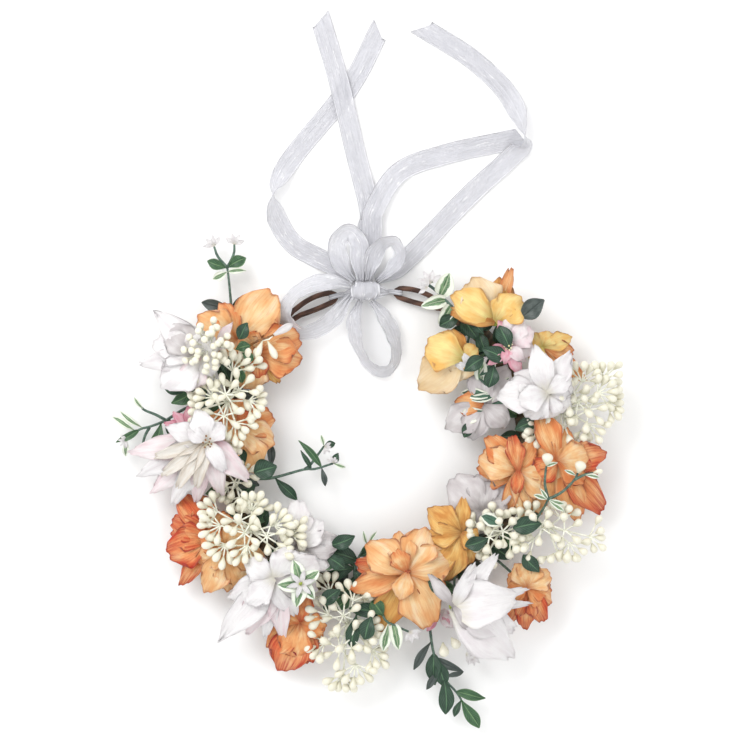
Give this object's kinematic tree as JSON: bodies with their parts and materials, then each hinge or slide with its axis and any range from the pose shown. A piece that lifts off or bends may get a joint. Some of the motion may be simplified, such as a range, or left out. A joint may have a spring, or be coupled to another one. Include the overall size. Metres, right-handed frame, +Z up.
{
  "type": "flower crown",
  "caption": "Head wreath of artificial silk flowers, berry sprays and leaf sprigs on a wrapped wire band, open at the back and tied with a sheer ribbon bow and long tails.",
  "frame": {"origin": "centre of the ring, on the table that the crown lies on", "axes": "+Z up from the table, +Y towards the back of the head with the bow and its tails, -Y the front, +X to the right seen from above with the back at the top"},
  "size_m": [0.2995, 0.4293, 0.0535],
  "materials": {
    "paper_wrap": "brown paper wrapped round wire, matt, finely creased",
    "vine": "brown twisted paper vine, matt",
    "floral_tape": "waxed crepe tape, matt",
    "organza": "sheer white organza ribbon with a woven edge, slight sheen",
    "peach_silk": "crinkled silk, peach with orange veins",
    "orange_silk": "crinkled silk, orange with darker edges",
    "red_silk": "crinkled silk, orange with red edges and veins",
    "yellow_silk": "crinkled silk, yellow with a tan blush",
    "white_silk": "white silk, thin at the edges, cream at the throat",
    "pink_silk": "pink silk, paler at the tips",
    "ivory_berry": "ivory foam, satin",
    "green_leaf": "moulded leaf, satin, pale midrib",
    "cream_leaf": "moulded leaf, satin, cream rim"
  },
  "bodies": {
    "crown": {"band_vine": "vine", "band_wire": "paper_wrap", "berry_spray_front": "ivory_berry", "berry_spray_inner_right": "ivory_berry", "berry_spray_left": "ivory_berry", "berry_spray_lower_left": "ivory_berry", "berry_spray_outer_right": "ivory_berry", "berry_spray_right": "ivory_berry", "berry_spray_upper_left": "ivory_berry", "bow_knot": "organza", "bow_loop_lower_left": "organza", "bow_loop_lower_right": "organza", "bow_loop_upper_left": "organza", "bow_loop_upper_right": "organza", "lacing_left": "organza", "lacing_right": "organza", "leaf_sprig_front_inner": "green_leaf", "leaf_sprig_front_outer": "green_leaf", "leaf_sprig_inner_right": "cream_leaf", "leaf_sprig_outer_left": "green_leaf", "leaf_sprig_upper_right": "green_leaf", "orange_bloom_front_inner": "orange_silk", "orange_bloom_front_right": "orange_silk", "orange_bloom_lower_left": "orange_silk", "orange_bloom_right": "orange_silk", "orange_bloom_upper_left": "orange_silk", "peach_bloom_front": "peach_silk", "peach_bloom_left": "peach_silk", "peach_bloom_upper_left": "peach_silk", "pink_blossom_left": "pink_silk", "pink_blossom_upper": "pink_silk", "red_bloom_front_left": "red_silk", "red_bloom_lower_left": "red_silk", "red_bloom_outer_right": "red_silk", "star_sprig_lower_left": "cream_leaf", "tape_front": "floral_tape", "tape_front_left": "floral_tape", "tape_left": "floral_tape", "tape_right": "floral_tape", "white_bloom_inner_left": "white_silk", "white_bloom_inner_lower": "white_silk", "white_bloom_inner_upper": "white_silk", "white_bloom_lower_left": "white_silk", "white_bloom_right": "white_silk", "white_bloom_upper_left": "white_silk", "white_lily_left": "white_silk", "white_magnolia_front": "white_silk", "yellow_bloom_inner": "yellow_silk", "yellow_bloom_outer": "yellow_silk", "yellow_bloom_upper": "yellow_silk"},
    "tails": {"tail_far_left": "organza", "tail_middle_left": "organza", "tail_middle_right": "organza", "tail_far_right": "organza"},
    "upper_left_sprig": {"leaf_sprig_upper_left": "green_leaf"},
    "left_sprig": {"leaf_sprig_left": "green_leaf"},
    "inner_sprig": {"leaf_sprig_inner": "green_leaf"},
    "front_sprig": {"leaf_sprig_front": "green_leaf"},
    "forked_sprig": {"forked_sprig_right": "green_leaf"}
  },
  "joints": [
    {"name": "tails_lift", "type": "hinge", "parent": "crown", "child": "tails", "pos_m": [0, 0.0953, 0.002], "axis": [1, 0, 0], "range_deg": [-90, 5]},
    {"name": "upper_left_sprig_bend", "type": "hinge", "parent": "crown", "child": "upper_left_sprig", "pos_m": [-0.07203, 0.06486, 0.00496], "axis": [0.9345, 0.3559, 0], "range_deg": [-6, 24]},
    {"name": "left_sprig_bend", "type": "hinge", "parent": "crown", "child": "left_sprig", "pos_m": [-0.09522, 0.01679, 0.00675], "axis": [-0.1695, 0.9855, 0], "range_deg": [-6, 22]},
    {"name": "inner_sprig_bend", "type": "hinge", "parent": "crown", "child": "inner_sprig", "pos_m": [-0.07853, -0.02781, 0.00675], "axis": [0.4234, -0.9059, 0], "range_deg": [-6, 22]},
    {"name": "front_sprig_bend", "type": "hinge", "parent": "crown", "child": "front_sprig", "pos_m": [0.02502, -0.0934, 0.00675], "axis": [-0.9181, -0.3964, 0], "range_deg": [-6, 22]},
    {"name": "forked_sprig_bend", "type": "hinge", "parent": "crown", "child": "forked_sprig", "pos_m": [0.08252, -0.04388, 0.01096], "axis": [0.7259, -0.6878, 0], "range_deg": [-2, 20]}
  ]
}
